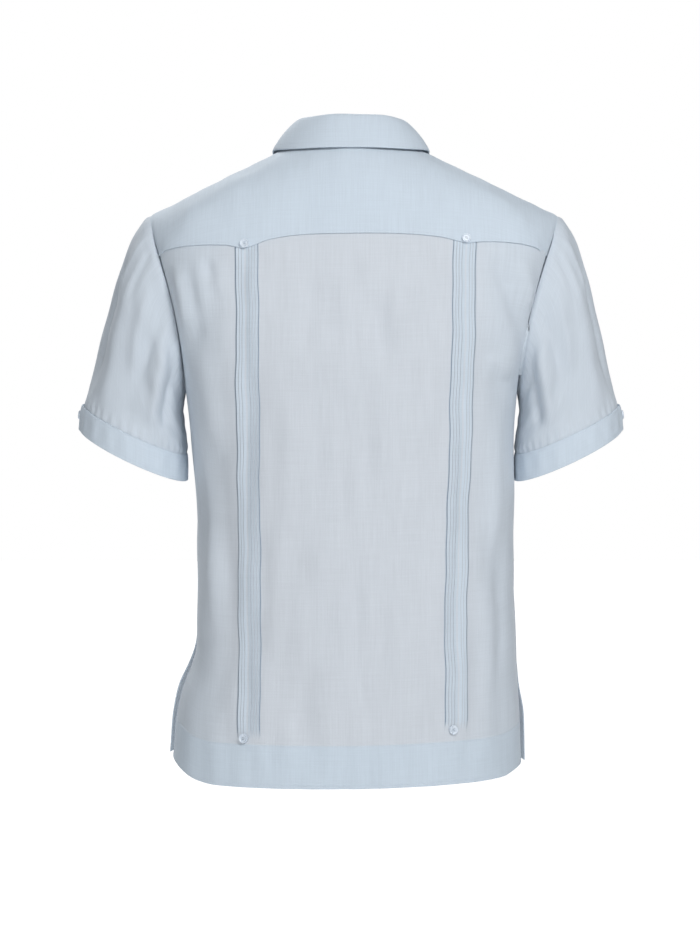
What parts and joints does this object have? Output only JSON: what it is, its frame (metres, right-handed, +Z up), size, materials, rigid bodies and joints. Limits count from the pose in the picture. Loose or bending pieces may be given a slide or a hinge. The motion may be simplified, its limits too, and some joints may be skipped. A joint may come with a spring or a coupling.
{
  "type": "guayabera shirt",
  "caption": "Worn short-sleeved guayabera in pale blue linen: shirt collar, pointed back yoke, tuck columns with buttons, cuffed sleeves, straight hem with side vents.",
  "frame": {"origin": "middle of the neck base, on the line of the shoulders, where the wearer carries the shirt", "axes": "+Z up; the wearer faces -Y, so the back is towards +Y; +X is the wearer's left"},
  "size_m": [0.6562, 0.2843, 0.7872],
  "materials": {
    "linen_single": "matt single layer of slubby linen",
    "linen_double": "matt doubled linen, a little bluer and denser",
    "button": "pearly, satin"
  },
  "bodies": {
    "root": {"back_panel": "linen_single", "back_yoke": "linen_double", "front_left": "linen_single", "front_right": "linen_single", "front_band": "linen_double", "collar_stand": "linen_double", "collar_fall": "linen_double", "sleeve_left": "linen_single", "sleeve_right": "linen_single", "cuff_left": "linen_double", "cuff_right": "linen_double", "pocket_left": "linen_single", "pocket_right": "linen_single", "button_front_1": "button", "button_front_2": "button", "button_front_3": "button", "button_front_4": "button", "button_front_5": "button", "button_front_6": "button", "button_front_7": "button", "button_back_top_left": "button", "button_back_top_right": "button", "button_back_low_left": "button", "button_back_low_right": "button", "button_cuff_left": "button", "button_cuff_right": "button"}
  },
  "joints": []
}
